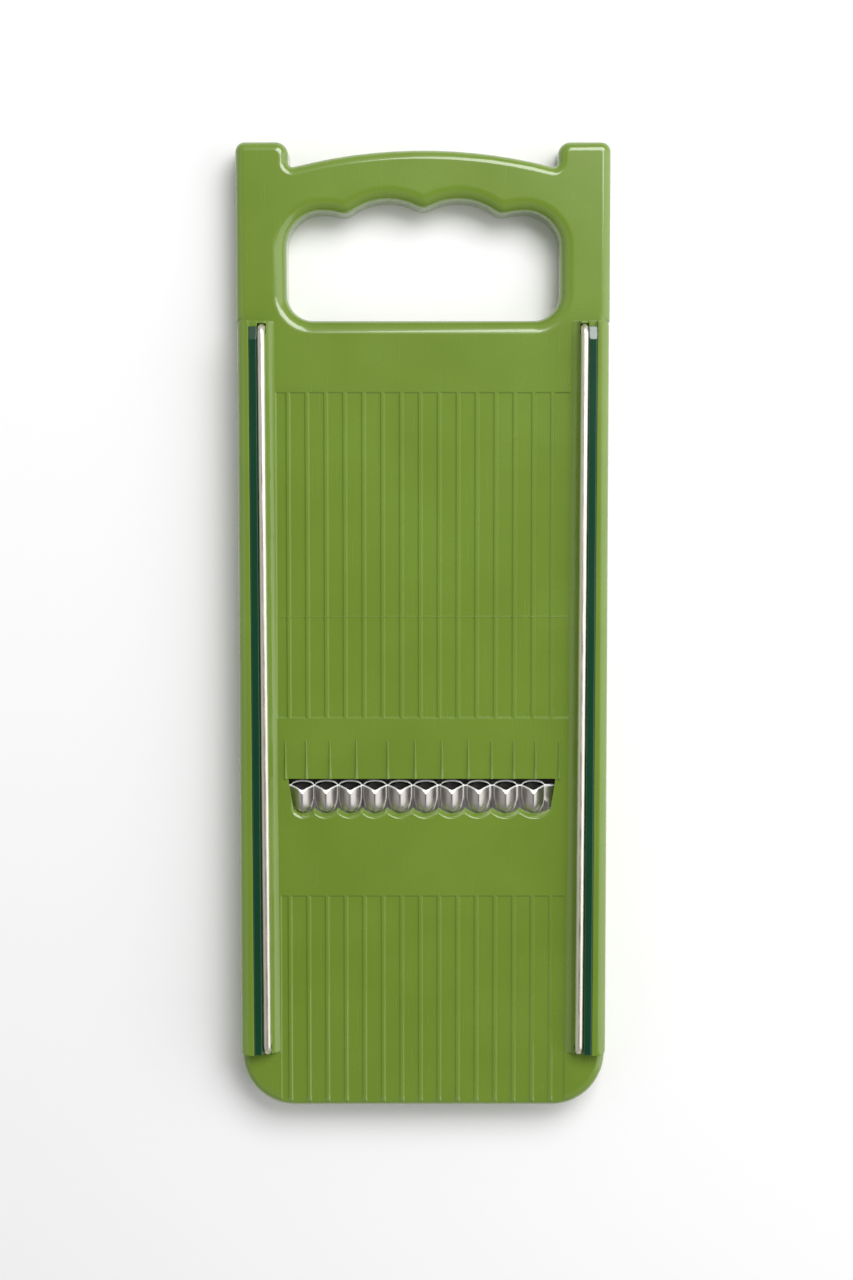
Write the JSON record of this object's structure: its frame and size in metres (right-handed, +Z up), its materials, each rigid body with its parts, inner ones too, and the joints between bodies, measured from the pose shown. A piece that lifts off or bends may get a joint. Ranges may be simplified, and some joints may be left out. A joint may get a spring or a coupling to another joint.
{
  "type": "mandoline slicer",
  "caption": "Flat hand-held slicing board with raised guide rails, ribbed deck, a cross slot with a row of pressed shredding teeth, and a scalloped hand hole in its head.",
  "frame": {"origin": "centre of the outline at the surface the board rests on", "axes": "+X across the board, +Y along it towards the handle, +Z up from the surface"},
  "size_m": [0.119, 0.31, 0.0207],
  "materials": {
    "green_plastic": "satin gloss",
    "dark_green_plastic": "gloss",
    "wire_steel": "polished",
    "tooth_steel": "pressed and polished",
    "screw_steel": "plated"
  },
  "bodies": {
    "root": {"board": "green_plastic", "left_rail_inlay": "dark_green_plastic", "right_rail_inlay": "dark_green_plastic", "left_guide_wire": "wire_steel", "right_guide_wire": "wire_steel", "upper_tooth_strip": "tooth_steel", "lower_tooth_strip": "tooth_steel", "blade_clamp_bar": "green_plastic", "clamp_screws": "screw_steel"}
  },
  "joints": []
}
